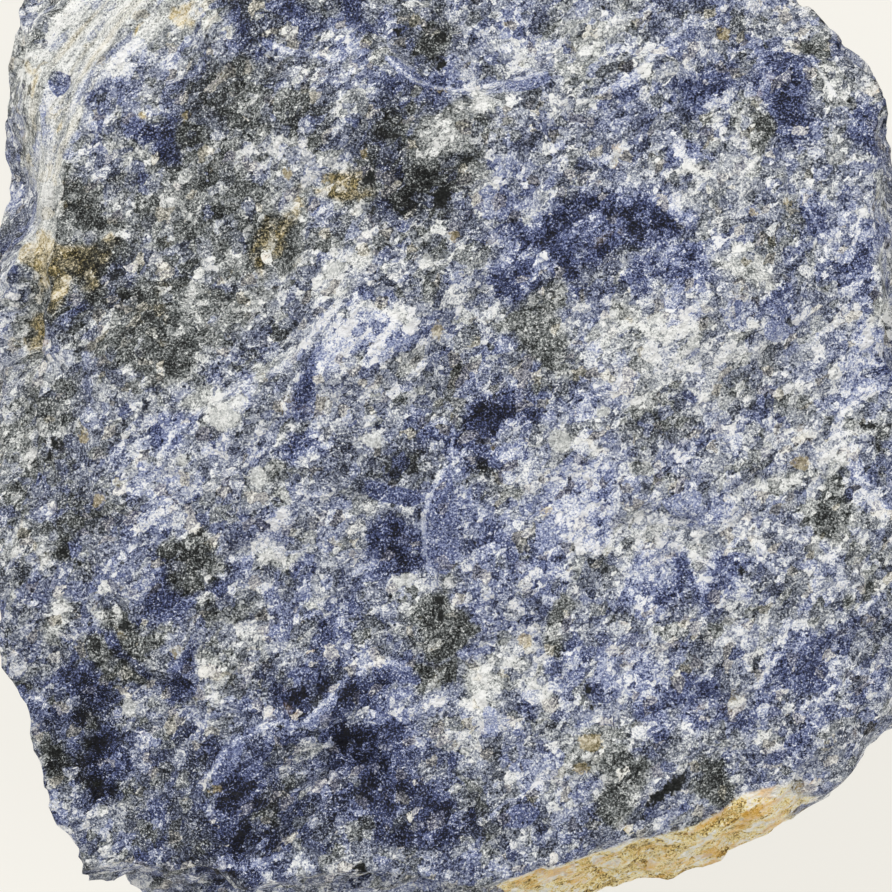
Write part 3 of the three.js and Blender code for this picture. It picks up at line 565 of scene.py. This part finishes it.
def paint(stone, points, normals):
    """Fields over the skin that the rock material reads: where each mineral and stain is, and the painted
    shade, light and highlights.
    """
    plan = points[:, :2] - FACE_MIDDLE
    seen = smoothstep(points[:, 2], *SEEN_HEIGHTS)
    upper = smoothstep(normals[:, 2], 0.0, 0.4) * seen
    set_field(stone, "upper", upper)
    paint_patches(stone, plan, upper)
    for field, grains in GRAINS.items():
        depths = [patch_share(plan, *spot) * min(spot[2:4]) for spot in grains]
        set_field(stone, field, np.clip(np.max(depths, axis=0), -2, 2) * upper - 2 * (1 - upper))
    depth, tone = crystal_depth(plan)
    set_field(stone, "crystal", depth * upper - 2 * (1 - upper))
    set_field(stone, "crystal_tone", tone)
    # Pale veins in the rock, and painted highlights on the lit rims of ridges.
    across, share = nearest_pale_line(plan)
    set_field(stone, "vein_or_ridge_highlight", across)
    set_field(stone, "pale_line_share", share * upper)
    across, along = beside_line(plan, smooth_line(WHITE_BAND["line"]))
    widths = WHITE_BAND["half_widths"]
    width = np.interp(along, np.linspace(0, 1, len(widths)), widths)
    band = smoothstep(1 - np.abs(across) / width, 0, 0.6) * smoothstep(normals[:, 2], -0.15, 0.25)
    band *= smoothstep(along, 0, 0.15) * (1 - smoothstep(along, 0.85, 1))
    set_field(stone, "band", band * seen)
    set_field(stone, "band_across", across)
    set_field(stone, "band_along", along * WHITE_BAND["length"])
    set_field(stone, "rust", rust_stain(plan, points, normals))


def wavy(plan):
    """The plan points pushed about, which gives round patches a ragged outline."""
    for size, reach in PATCH_RAGGEDNESS:
        level = np.column_stack([plan, np.zeros(len(plan))])
        plan = plan + reach * np.stack([lumps(level + shift, size) for shift in (0, 50)], axis=1)
    return plan


def paint_patches(stone, plan, upper):
    plan = wavy(plan)
    for field in ("tone", "blue", "warm"):
        total = np.zeros(len(plan))
        for patch in PATCHES.values():
            middles = wavy(np.array([spot[:2] for spot in patch["at"]], float))
            shares = [
                smoothstep(patch_share(plan, *middle, *spot[2:]), 0, EDGE_SOFTNESS)
                for middle, spot in zip(middles, patch["at"])
            ]
            total += patch.get(field, 0) * np.max(shares, axis=0)
        strength = dict(tone=TONE_STRENGTH, blue=BLUE_STRENGTH).get(field, 1)
        set_field(stone, field, total * strength * upper)


def crystal_depth(plan):
    """Depth inside the nearest crystal, below zero outside, and that crystal's tone."""
    best = np.full(len(plan), -2.0)
    tone = np.full(len(plan), 0.5)
    for shade, corners in CRYSTALS:
        corners = np.array(corners, float)
        inside = np.zeros(len(plan), bool)
        nearest = np.full(len(plan), np.inf)
        for a, b in zip(corners, np.roll(corners, -1, axis=0)):
            run = b - a
            part = np.clip((plan - a) @ run / (run @ run), 0, 1)
            nearest = np.minimum(nearest, np.linalg.norm(plan - a - part[:, None] * run, axis=1))
            beyond = (a[1] > plan[:, 1]) != (b[1] > plan[:, 1])
            crossing = a[0] + (plan[:, 1] - a[1]) * run[0] / (run[1] or 1e-9)
            inside ^= beyond & (plan[:, 0] < crossing)
        depth = np.where(inside, nearest, -nearest)
        tone = np.where(depth > best, shade, tone)
        best = np.maximum(best, depth)
    return best, tone


def nearest_pale_line(plan):
    """Distance across the nearest vein or painted ridge highlight in its half widths, and how strongly it
    shows there.
    """
    best = np.full(len(plan), np.inf)
    across = np.full(len(plan), PALE_LINE_REACH)
    shown = np.zeros(len(plan))
    for half_width, line in VEINS_AND_RIDGE_HIGHLIGHTS:
        off, share = beside_line(plan, smooth_line(line, 6))
        nearer = np.abs(off) < best
        best = np.where(nearer, np.abs(off), best)
        across = np.where(nearer, np.clip(off, -PALE_LINE_REACH, PALE_LINE_REACH) / half_width, across)
        ends = smoothstep(np.sin(np.pi * share), 0, 0.3)
        shown = np.where(nearer, ends * (1 - smoothstep(np.abs(off), 1.1, PALE_LINE_REACH)), shown)
    return across, shown


def rust_stain(plan, points, normals):
    """The stain's share of the skin: full below its line, then narrower and running out unevenly."""
    across, share = beside_line(plan, smooth_line(RUST_LINE))
    facing = smoothstep(normals @ unit(RUST_FACING), -0.1, 0.25)
    height = points[:, 2]
    down = 1 - smoothstep(height, 16, 47)
    share = share + 0.5 * down * lumps(points, 12)
    ends = smoothstep(share, 0.3 * down, 0.25 + 0.35 * down)
    ends *= 1 - smoothstep(share, 0.8 - 0.4 * down, 1 - 0.2 * down)
    run_out = smoothstep(height + 18 * down * lumps(points[:, ::-1], 9), 12, 48)
    return smoothstep(across, -1.2, 0.6) * facing * ends * run_out


# Colours are given as they show on a screen, 0 to 255, and each ramp goes from dark to light.
BLUE_RAMP = [
    (0.00, (14, 15, 24)), (0.17, (36, 43, 76)), (0.31, (62, 71, 112)), (0.43, (88, 98, 140)),
    (0.55, (118, 128, 166)), (0.67, (150, 160, 196)), (0.80, (190, 197, 220)), (0.92, (226, 230, 238)),
    (1.00, (250, 250, 252)),
]
GREY_RAMP = [
    (0.00, (12, 13, 12)), (0.17, (40, 43, 42)), (0.31, (74, 78, 77)), (0.43, (104, 109, 108)),
    (0.55, (137, 141, 141)), (0.67, (168, 171, 170)), (0.80, (202, 204, 201)), (0.92, (232, 233, 229)),
    (1.00, (251, 251, 248)),
]
OCHRE_RAMP = [
    (0.00, (20, 18, 10)), (0.20, (58, 54, 34)), (0.42, (114, 105, 70)), (0.60, (170, 153, 104)),
    (0.80, (218, 198, 148)), (1.00, (248, 240, 220)),
]
RUST_RAMP = [
    (0.00, (60, 46, 24)), (0.25, (138, 110, 58)), (0.45, (220, 190, 112)), (0.62, (250, 226, 152)),
    (0.80, (254, 243, 196)), (1.00, (254, 251, 240)),
]
RUST_COLOUR = (234, 176, 70)
RUST_ANGLE = 28  # degrees from x: the way the rust streaks run


def linear(colour):
    shares = [value / 255 for value in colour]
    return [s / 12.92 if s <= 0.04045 else ((s + 0.055) / 1.055) ** 2.4 for s in shares] + [1]


Mosaic = namedtuple("Mosaic", "number colour centre offset")


class ShaderWeb:
    """Adds nodes to a material, each fed by numbers or by other nodes' outputs."""

    def __init__(self, name):
        self.material = bpy.data.materials.new(name)
        self.material.use_nodes = True
        self.tree = self.material.node_tree
        self.shader = self.tree.nodes["Principled BSDF"]

    def set(self, socket, value):
        if isinstance(value, bpy.types.NodeSocket):
            self.tree.links.new(value, socket)
        else:
            socket.default_value = value

    def add(self, kind, inputs, **settings):
        node = self.tree.nodes.new(kind)
        for name, value in settings.items():
            setattr(node, name, value)
        for key, value in inputs.items():
            self.set(node.inputs[key], value)
        return node.outputs

    def math(self, operation, *terms, clamp=False):
        return self.add("ShaderNodeMath", dict(enumerate(terms)), operation=operation, use_clamp=clamp)[0]

    def vector(self, operation, *terms):
        key = "Scale" if operation == "SCALE" else 1
        return self.add("ShaderNodeVectorMath", {0: terms[0], key: terms[1]}, operation=operation)[0]

    def field(self, name):
        return self.add("ShaderNodeAttribute", {}, attribute_name=name)["Fac"]

    def noise(self, place, size, detail=0.0, roughness=0.5):
        """Value and colour of a fractal noise, its largest features this many millimetres wide."""
        inputs = {"Vector": place, "Scale": 1 / size, "Detail": detail, "Roughness": roughness}
        return self.add("ShaderNodeTexNoise", inputs)

    def mosaic(self, place, size):
        """A mosaic of cells: three random numbers for each, its centre, and the place within it."""
        cell = self.add("ShaderNodeTexVoronoi", {"Vector": place, "Scale": 1 / size})
        number = self.add("ShaderNodeSeparateXYZ", {0: cell["Color"]})
        offset = self.vector("SUBTRACT", place, cell["Position"])
        return Mosaic(number, cell["Color"], cell["Position"], offset)

    def facet(self, cell):
        """Height of a flat facet, slanting its own way in each cell of the mosaic."""
        slant = self.vector("SUBTRACT", cell.colour, (0.5, 0.5, 0.5))
        return self.add("ShaderNodeVectorMath", {0: cell.offset, 1: slant}, operation="DOT_PRODUCT")["Value"]

    def step(self, value, low, high):
        """0 below low, 1 above high, and a smooth change between."""
        inputs = {"Value": value, "From Min": low, "From Max": high}
        return self.add("ShaderNodeMapRange", inputs, interpolation_type="SMOOTHSTEP")["Result"]

    def total(self, base, *terms):
        """base and each term's output times its weight, for outputs that are 0.5 on average."""
        value = base - sum(weight for _, weight in terms) / 2 if isinstance(base, float) else base
        for output, weight in terms:
            value = self.math("MULTIPLY_ADD", output, weight, value)
        return value

    def tails(self, output, power):
        """The output, 0.5 on average, with most of its values drawn in towards 0.5."""
        off = self.math("MULTIPLY_ADD", output, 2.0, -1.0)
        return self.math("MULTIPLY_ADD", self.math("POWER", self.math("ABSOLUTE", off), float(power)),
                         self.math("MULTIPLY", self.math("SIGN", off), 0.5), 0.5)

    def blend(self, share, first, second):
        return self.math("MULTIPLY_ADD", share, self.math("SUBTRACT", second, first), first)

    def spread(self, output, reach):
        """An output that is 0.5 on average, moved to 0 on average and made reach times as strong."""
        return self.math("MULTIPLY_ADD", output, reach, -reach / 2)

    def ramp(self, share, stops):
        node = self.tree.nodes.new("ShaderNodeValToRGB")
        while len(node.color_ramp.elements) < len(stops):
            node.color_ramp.elements.new(1.0)
        for element, (place, colour) in zip(node.color_ramp.elements, stops):
            element.position = place
            element.color = linear(colour)
        self.set(node.inputs[0], share)
        return node.outputs[0]

    def mix(self, share, first, second):
        inputs = {"Factor": share, 6: first, 7: second}
        return self.add("ShaderNodeMix", inputs, data_type="RGBA")[2]

    def warped(self, place, size, reach, detail):
        """The place, pushed about by up to about reach."""
        push = self.vector("SUBTRACT", self.noise(place, size, detail, 0.6)["Color"], (0.5, 0.5, 0.5))
        return self.vector("ADD", place, self.vector("SCALE", push, 4 * reach))

    def stretched(self, place, angle, stretch):
        """The place, turned by the angle in degrees and drawn out along its new axes."""
        turn = {"Vector": place, "Rotation": (0, 0, math.radians(angle)), "Scale": stretch}
        return self.add("ShaderNodeMapping", turn, vector_type="TEXTURE")[0]


class RockWeb(ShaderWeb):
    """The rock material. Each method makes one layer of its looks from the layers before it."""

    def __init__(self, name):
        super().__init__(name)
        self.place = self.vector("SCALE", self.add("ShaderNodeTexCoord", {})["Object"], 1 / MM)
        self.fabric = self.stretched(self.place, FABRIC_ANGLE, (GRAIN_STRETCH, 1, 1))
        self.ragged = self.warped(self.fabric, 1.0, 0.32, 2.0)
        self.crystals = self.mosaic(self.ragged, CRYSTAL_SIZE)
        self.grains = self.mosaic(self.ragged, GRAIN_SIZE)
        self.crumbs = self.mosaic(self.ragged, CRUMB_SIZE)
        self.flecks = self.mosaic(self.ragged, FLECK_SIZE)
        self.dust = self.noise(self.place, DUST_SIZE, 2.0, 0.95)["Fac"]
        self.cloudy = self.noise(self.grains.centre, 2.6, 1.0, 0.8)["Fac"]
        self.torn = self.spread(self.noise(self.place, 7.0, 2.0, 0.7)["Fac"], 1.2)
        self.frayed = self.spread(self.noise(self.place, 0.8, 2.0, 0.9)["Fac"], 1.7)
        self.uneven = self.math("MULTIPLY_ADD", self.grains.number[1], 1.3, 0.45)

    def stretches(self):
        """Large light and dark stretches of the fabric, with a few blotches among them."""
        large = self.spread(self.noise(self.fabric, 24.0, 2.0, 0.7)["Fac"], 1.4)
        blotches = self.noise(self.vector("ADD", self.fabric, (3, 20, 9)), 13.0, 3.0, 0.75)["Fac"]
        blotches = self.math("SUBTRACT", self.step(blotches, 0.55, 0.63), self.step(blotches, 0.45, 0.38))
        return self.math("MULTIPLY_ADD", blotches, 0.13, large)

    def grain_light(self):
        """How much lighter or darker than the rock about them the single grains and crumbs are."""
        grains, crumbs = (self.tails(mosaic.number[0], 3) for mosaic in (self.grains, self.crumbs))
        light = self.total(0.0, (grains, 0.66), (crumbs, 0.8))
        return self.math("MAXIMUM", light, self.math("MULTIPLY", light, 0.6))

    def rock_tone(self, light):
        """The tone of the rock from dark to light. The large stretches are weak on the broad face."""
        weak = self.math("MULTIPLY_ADD", self.field("upper"), -0.8, 1.0)
        zones = self.noise(self.vector("ADD", self.crystals.centre, (0, 9, 0)), 5.5, 1.0, 0.8)["Fac"]
        tone = self.total(0.54, (zones, 0.4), (self.cloudy, 0.7), (self.crystals.number[0], 0.1))
        tone = self.math("MULTIPLY_ADD", self.stretches(), weak, tone)
        # The tone field brings in the mineral patches and the painted shade and painted light.
        tone = self.math("MULTIPLY_ADD", self.field("tone"), self.uneven, tone)
        lively = self.math("MULTIPLY_ADD", self.step(tone, 0.2, 0.6), 0.75, 0.4)
        return self.math("MULTIPLY_ADD", light, lively, tone)

    def crystal_share(self):
        edge = self.math("ADD", self.field("crystal"), self.spread(self.dust, 0.4))
        return self.step(edge, -0.05, 0.1)

    def crystal_tone(self, tone):
        return self.math("MULTIPLY_ADD", self.math("SUBTRACT", tone, 0.5), 0.25, self.field("crystal_tone"))

    # Share of the pale lines: veins in the rock, and painted highlights on the lit rims of ridges.
    def pale_line_share(self):
        wander = self.spread(self.noise(self.place, 1.6, 2.0, 0.8)["Fac"], 2.6)
        edge = self.math("ABSOLUTE", self.math("ADD", self.field("vein_or_ridge_highlight"), wander))
        broken = self.step(self.noise(self.place, 2.6, 2.0, 0.6)["Fac"], 0.3, 0.5)
        shown = self.math("MULTIPLY", self.field("pale_line_share"), broken)
        return self.math("MULTIPLY", self.step(edge, 1.2, 0.5), shown)

    def band_share(self, smooth):
        """The white bevel's share of the skin, without the crystals in it."""
        ragged = self.math("MULTIPLY_ADD", self.torn, 0.6, self.spread(self.cloudy, 1.2))
        band = self.step(self.math("ADD", self.field("band"), ragged), 0.2, 0.6)
        return self.math("MULTIPLY", band, self.math("SUBTRACT", 1.0, smooth))

    def striae(self):
        """A place on the white bevel, squeezed along it, so that noise there comes out as streaks."""
        along = self.math("MULTIPLY", self.field("band_along"), 0.14)
        drawn = self.add("ShaderNodeCombineXYZ", {"X": self.field("band_across"), "Y": along})[0]
        return self.vector("ADD", drawn, self.vector("SCALE", self.ragged, 0.05))

    def band_tone(self, tone, striae):
        streaks = self.spread(self.noise(striae, 1.6, 3.0, 0.8)["Fac"], 1.6)
        return self.math("ADD", streaks, self.math("MULTIPLY_ADD", tone, 0.3, 0.68))

    def band_shades(self, striae):
        shades = self.noise(self.vector("ADD", striae, (5, 0, 0)), 2.6, 2.0, 0.7)["Fac"]
        return self.spread(shades, 2.0)

    def painted_glints_and_specks(self, tone):
        """Painted glints and painted shade in tiny pits of the sugary surface, with dust specks, finer than
        its grains.
        """
        dusted = self.math("ADD", self.spread(self.dust, 1.2), self.flecks.number[0])
        glint_strength = self.math("MULTIPLY_ADD", tone, 0.3, 0.06)
        glint_strength = self.math("MULTIPLY_ADD", self.grains.number[0], 0.3, glint_strength)
        # Painted glints: bright specks where shiny grain facets would catch the light.
        painted_glint = self.math("MULTIPLY", self.step(dusted, 0.75, 1.0), glint_strength)
        # Painted shade: dark specks, as in tiny pits.
        pit = self.step(dusted, 0.14, 0.0)
        specks_and_glints = self.math("MULTIPLY_ADD", pit, -0.3, self.spread(self.dust, 1.4))
        return self.math("MULTIPLY_ADD", painted_glint, 0.52, specks_and_glints)

    def with_specks_and_glints(self, tone, specks_and_glints):
        """The tone with its dust specks, painted glints and painted pit shade, which stand out more in dark
        rock.
        """
        loud = self.math("MAXIMUM", self.math("MULTIPLY_ADD", tone, -1.9, 2.25), 1.0)
        return self.math("MULTIPLY_ADD", specks_and_glints, loud, tone)

    def blueness(self, smooth, vein_or_ridge_highlight, band, shades):
        """0 where the rock is grey and 1 where it is blue."""
        zones = self.noise(self.vector("ADD", self.crystals.centre, (40, 0, 0)), 9.0, 2.0, 0.8)["Fac"]
        own = self.tails(self.grains.number[2], 3)
        blue = self.total(0.56, (zones, 1.1), (self.crystals.number[1], 0.45), (own, 0.6))
        blue = self.math("MULTIPLY_ADD", self.field("blue"), self.uneven, blue)
        # Pale veins and painted ridge highlights turn lavender.
        blue = self.math("MULTIPLY_ADD", vein_or_ridge_highlight, 0.3, self.math("MULTIPLY_ADD", smooth, 0.55, blue))
        blue = self.math("MULTIPLY_ADD", band, self.math("SUBTRACT", shades, 0.26), blue)
        return self.step(blue, 0.05, 1.05)

    def warmth(self):
        """The share of ochre in the stained patches, grain by grain."""
        stain = self.field("warm")
        spots = self.noise(self.place, 2.4, 3.0, 0.8)["Fac"]
        warmth = self.total(0.0, (spots, 1.8), (self.grains.number[2], 0.5))
        warmth = self.math("MULTIPLY_ADD", stain, 1.6, self.math("SUBTRACT", warmth, 0.45))
        warmth = self.math("MULTIPLY", self.step(warmth, 0.0, 0.9), self.step(stain, 0.0, 0.2))
        grainy = self.math("MULTIPLY_ADD", self.grains.number[1], 0.5, 0.55)
        return self.math("MULTIPLY", warmth, grainy, clamp=True)

    def beige(self, band, shades):
        """The share of ochre in a few single grains, and in some streaks of the white bevel."""
        grains = self.math("MULTIPLY", self.step(self.grains.number[1], 0.12, 0.04), 0.3)
        streaks = self.math("MULTIPLY", self.math("MULTIPLY", band, 0.6), self.step(shades, 0.0, -0.6))
        return self.math("MAXIMUM", grains, streaks)

    def rusted(self, colour, tone, specks_and_glints):
        """The colour with the rust stain, which is paler in a halo along its edge."""
        drawn = self.stretched(self.place, RUST_ANGLE, (3, 1, 2))
        streaks = self.noise(self.vector("ADD", drawn, (7, 3, 1)), 2.6, 4.0, 0.8)["Fac"]
        ragged = self.math("ADD", self.torn, self.spread(self.cloudy, 0.8))
        share = self.math("ADD", self.field("rust"), ragged)
        halo = self.math("SUBTRACT", self.step(share, 0.1, 0.4), self.step(share, 0.5, 0.9))
        specks = self.math("MULTIPLY", self.step(self.grains.number[2], 0.13, 0.07), -0.24)
        iron_tone = self.math("MULTIPLY_ADD", halo, 0.2, self.math("MULTIPLY_ADD", tone, 1.3, 0.06))
        iron_tone = self.math("ADD", iron_tone, self.math("ADD", specks, self.spread(streaks, 0.7)))
        iron_tone = self.math("MULTIPLY_ADD", specks_and_glints, -0.6, iron_tone)
        deep = self.math("MULTIPLY", self.step(streaks, 0.47, 0.62), 0.65)
        iron = self.mix(deep, self.ramp(iron_tone, RUST_RAMP), linear(RUST_COLOUR))
        return self.mix(self.step(share, 0.25, 0.65), colour, iron)

    def with_black_grains(self, colour, specks_and_glints):
        share = self.step(self.math("ADD", self.field("black"), self.frayed), 0.0, 0.3)
        sooty = self.ramp(self.math("MULTIPLY_ADD", specks_and_glints, 0.5, 0.06), GREY_RAMP)
        return self.mix(share, colour, sooty)

    def with_white_grains(self, colour, specks_and_glints, light):
        ragged = self.math("ADD", self.frayed, self.spread(self.cloudy, 0.8))
        share = self.step(self.math("ADD", self.field("white"), ragged), 0.0, 0.3)
        chalky = self.math("MULTIPLY_ADD", specks_and_glints, 0.5, self.math("MULTIPLY_ADD", light, 0.35, 0.86))
        return self.mix(self.math("MULTIPLY", share, 0.85), colour, self.ramp(chalky, GREY_RAMP))

    def with_tan_grains(self, colour, tone):
        share = self.step(self.math("ADD", self.field("tan"), self.frayed), 0.0, 0.3)
        creamy = self.ramp(self.math("MULTIPLY_ADD", tone, 0.4, 0.44), OCHRE_RAMP)
        return self.mix(self.math("MULTIPLY", share, 0.6), colour, creamy)

    def grain_relief(self):
        """The rock's finest relief, in millimetres: a slanting facet on each grain and crumb."""
        height = self.math("MULTIPLY", self.noise(self.place, 0.5, 2.0, 0.7)["Fac"], 0.22)
        for mosaic, slope in ((self.grains, 0.65), (self.crumbs, 0.5)):
            height = self.math("MULTIPLY_ADD", self.facet(mosaic), slope, height)
        return self.add("ShaderNodeBump", {"Height": height, "Strength": 1.0, "Distance": MM})[0]


def rock_material():
    web = RockWeb("sodalite_rock")
    light = web.grain_light()
    smooth = web.crystal_share()
    vein_or_ridge_highlight = web.pale_line_share()
    band = web.band_share(smooth)
    striae = web.striae()
    shades = web.band_shades(striae)

    tone = web.rock_tone(light)
    tone = web.blend(smooth, tone, web.crystal_tone(tone))
    # Pale veins and painted ridge highlights lighten the tone.
    tone = web.math("MULTIPLY_ADD", vein_or_ridge_highlight, 0.32, tone)
    tone = web.blend(band, tone, web.band_tone(tone, striae))
    # Painted glints and painted shade in tiny pits go into the tone, with dust specks.
    specks_and_glints = web.painted_glints_and_specks(tone)
    tone = web.with_specks_and_glints(tone, specks_and_glints)

    blueness = web.blueness(smooth, vein_or_ridge_highlight, band, shades)
    colour = web.mix(blueness, web.ramp(tone, GREY_RAMP), web.ramp(tone, BLUE_RAMP))
    ochre = web.math("MAXIMUM", web.warmth(), web.beige(band, shades))
    colour = web.mix(ochre, colour, web.ramp(tone, OCHRE_RAMP))
    colour = web.rusted(colour, tone, specks_and_glints)
    colour = web.with_black_grains(colour, specks_and_glints)
    colour = web.with_white_grains(colour, specks_and_glints, light)
    colour = web.with_tan_grains(colour, tone)

    web.set(web.shader.inputs["Base Color"], colour)
    web.set(web.shader.inputs["Specular IOR Level"], 0.25)
    web.set(web.shader.inputs["Roughness"], web.math("MULTIPLY_ADD", web.crumbs.number[2], -0.4, 0.8))
    web.set(web.shader.inputs["Normal"], web.grain_relief())
    return web.material


def plain_material(name, colour, glow_colour, glow):
    web = ShaderWeb(name)
    web.shader.inputs["Base Color"].default_value = linear(colour)
    web.shader.inputs["Roughness"].default_value = 0.8
    web.shader.inputs["Emission Color"].default_value = linear(glow_colour)
    web.shader.inputs["Emission Strength"].default_value = glow
    return web.material


def build_stone():
    points, triangles = solid_mesh("stone")
    for _ in range(REFINE_ROUNDS):
        points, triangles = refine(points, triangles)
    points = rough_stone(points, triangles)
    stone = add_mesh("sodalite_stone", points, triangles)
    paint(stone, points, unit(softened(point_normals(points, triangles), triangles, NORMAL_EVENING)))
    stone.data.materials.append(rock_material())
    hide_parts("stone")
    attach(stone, "root")


def build_floor():
    corners = np.array([(-1, -1, 0), (1, -1, 0), (1, 1, 0), (-1, 1, 0)]) * float(FLOOR_HALF_WIDTH)
    floor = add_mesh("floor", corners, np.array([(0, 1, 2), (0, 2, 3)]))
    floor.data.materials.append(plain_material("pale_floor", FLOOR_COLOUR, FLOOR_GLOW_COLOUR, FLOOR_GLOW))


def add_lamp(name, place, width, power, colour):
    data = bpy.data.lights.new(name, "AREA")
    data.shape = "DISK"
    data.size = width * MM
    data.energy = power
    data.color = colour
    lamp = bpy.data.objects.new(name, data)
    lamp.location = Vector(place) * MM
    aim = Vector((0, 0, FACE_HEIGHT / 2)) * MM - lamp.location
    lamp.rotation_euler = aim.to_track_quat("-Z", "Y").to_euler()
    bpy.context.scene.collection.objects.link(lamp)


def light_studio():
    world = bpy.data.worlds.new("studio")
    world.use_nodes = True
    background = world.node_tree.nodes["Background"]
    background.inputs["Color"].default_value = (1, 1, 1, 1)
    background.inputs["Strength"].default_value = SKY_STRENGTH
    bpy.context.scene.world = world
    for name, lamp in LAMPS.items():
        add_lamp(name, **lamp)


def place_camera():
    data = bpy.data.cameras.new("camera")
    data.sensor_width = SENSOR_WIDTH
    data.lens = SENSOR_WIDTH * CAMERA_DISTANCE / PICTURE_WIDTH
    data.clip_start = 0.01
    data.clip_end = 10
    camera = bpy.data.objects.new("camera", data)
    camera.location = Vector((*FACE_MIDDLE, FACE_HEIGHT + CAMERA_DISTANCE)) * MM
    bpy.context.scene.collection.objects.link(camera)
    bpy.context.scene.camera = camera
    bpy.context.scene.view_settings.view_transform = "Standard"


build_stone()
build_floor()
light_studio()
place_camera()
